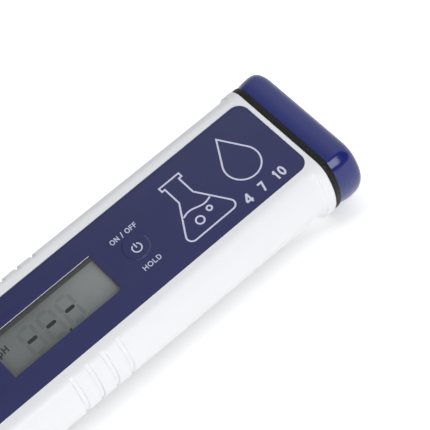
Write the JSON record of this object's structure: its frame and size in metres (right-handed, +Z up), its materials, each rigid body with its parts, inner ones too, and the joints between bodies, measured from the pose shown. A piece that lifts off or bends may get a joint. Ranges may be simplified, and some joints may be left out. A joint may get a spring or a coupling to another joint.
{
  "type": "digital ph meter",
  "caption": "Pocket digital pH meter: white flat-oval sleeve housing, navy front label with display and power key, blue end caps, glass pH electrode under the lower cap.",
  "frame": {"origin": "centre of the bounding box at the bottom face of the protective cap", "axes": "+Z up along the meter's length, sensor end down; the front label, display and key face -Y; +X to the right seen from the front"},
  "size_m": [0.03, 0.0164, 0.15],
  "materials": {
    "housing_white": "satin white moulded ABS with a fine moulded texture",
    "label_blue": "navy printed polyester film with a satin face",
    "clear_pane": "clear acrylic pane",
    "dark_frame": "dark grey moulded frame",
    "switch_black": "black moulded switch plastic",
    "key_rubber": "dark silicone rubber",
    "cap_blue": "glossy deep blue moulded plastic",
    "gasket_rubber": "matt black rubber",
    "screw_steel": "stainless steel",
    "tray_grey": "light grey moulded plastic",
    "cell_steel": "nickel-plated steel can",
    "contact_nickel": "nickel-plated spring strip",
    "spring_brass": "gold-plated spring bronze",
    "board_green": "green solder mask on glass epoxy",
    "lcd_glass": "grey-green reflective display glass",
    "zebra_rubber": "layered conductive rubber strip",
    "chip_black": "black moulded epoxy package",
    "ceramic_tan": "tan ceramic chip",
    "chassis_grey": "grey moulded chassis",
    "head_grey": "dark grey moulded plastic",
    "electrode_glass": "thin clear electrode glass",
    "silver_metal": "chlorided silver wire",
    "junction_ceramic": "porous white ceramic",
    "lead_red": "red wire insulation",
    "lead_black": "black cable jacket",
    "potting_resin": "amber potting resin",
    "sponge_foam": "damp cellulose sponge"
  },
  "bodies": {
    "root": {"housing": "housing_white", "front_label": "label_blue", "lcd_window": "clear_pane", "window_frame": "dark_frame", "power_switch": "switch_black", "calibration_switch": "switch_black", "supply_springs": "spring_brass", "circuit_board": "board_green", "lcd_panel": "lcd_glass", "lcd_holder": "tray_grey", "zebra_strips": "zebra_rubber", "microcontroller": "chip_black", "amplifier": "chip_black", "crystal": "screw_steel", "chip_capacitors": "ceramic_tan", "chassis": "chassis_grey", "board_screws": "screw_steel", "sensor_head": "head_grey", "head_seal": "gasket_rubber", "neck_seal": "gasket_rubber", "glass_electrode": "electrode_glass", "silver_wire": "silver_metal", "reference_junction": "junction_ceramic", "reference_wire": "silver_metal", "temperature_probe": "screw_steel", "thermistor_leads": "lead_red", "electrode_lead": "lead_black", "potting": "potting_resin", "sensor_guard": "head_grey"},
    "battery_pack": {"battery_cap": "cap_blue", "cap_gasket": "gasket_rubber", "battery_tray": "tray_grey", "battery_cell_1": "cell_steel", "battery_cell_2": "cell_steel", "battery_cell_3": "cell_steel", "battery_cell_4": "cell_steel", "cell_link": "contact_nickel", "positive_contact": "contact_nickel", "negative_contact": "contact_nickel"},
    "left_screw": {"cap_screw_left": "screw_steel"},
    "right_screw": {"cap_screw_right": "screw_steel"},
    "power_key": {"power_button": "label_blue", "power_plunger": "housing_white", "power_switch_stem": "switch_black"},
    "calibration_key": {"calibration_button": "key_rubber", "calibration_switch_stem": "switch_black"},
    "sensor_cap": {"protective_cap": "cap_blue", "storage_sponge": "sponge_foam"}
  },
  "joints": [
    {"name": "battery_cap_lift", "type": "slide", "parent": "root", "child": "battery_pack", "axis": [0, 0, 1], "range_m": [0, 0.045]},
    {"name": "left_screw_turn", "type": "hinge", "parent": "battery_pack", "child": "left_screw", "pos_m": [-0.0104, 0, 0.14], "axis": [0, 0, 1], "continuous": true},
    {"name": "right_screw_turn", "type": "hinge", "parent": "battery_pack", "child": "right_screw", "pos_m": [0.0104, 0, 0.14], "axis": [0, 0, 1], "continuous": true},
    {"name": "power_key_press", "type": "slide", "parent": "root", "child": "power_key", "axis": [0, 1, 0], "range_m": [0, 0.00035], "stiffness_N_per_m": 20},
    {"name": "calibration_key_press", "type": "slide", "parent": "root", "child": "calibration_key", "axis": [0, -1, 0], "range_m": [0, 0.00035], "stiffness_N_per_m": 20},
    {"name": "sensor_cap_pull", "type": "slide", "parent": "root", "child": "sensor_cap", "axis": [0, 0, -1], "range_m": [0, 0.045]}
  ]
}
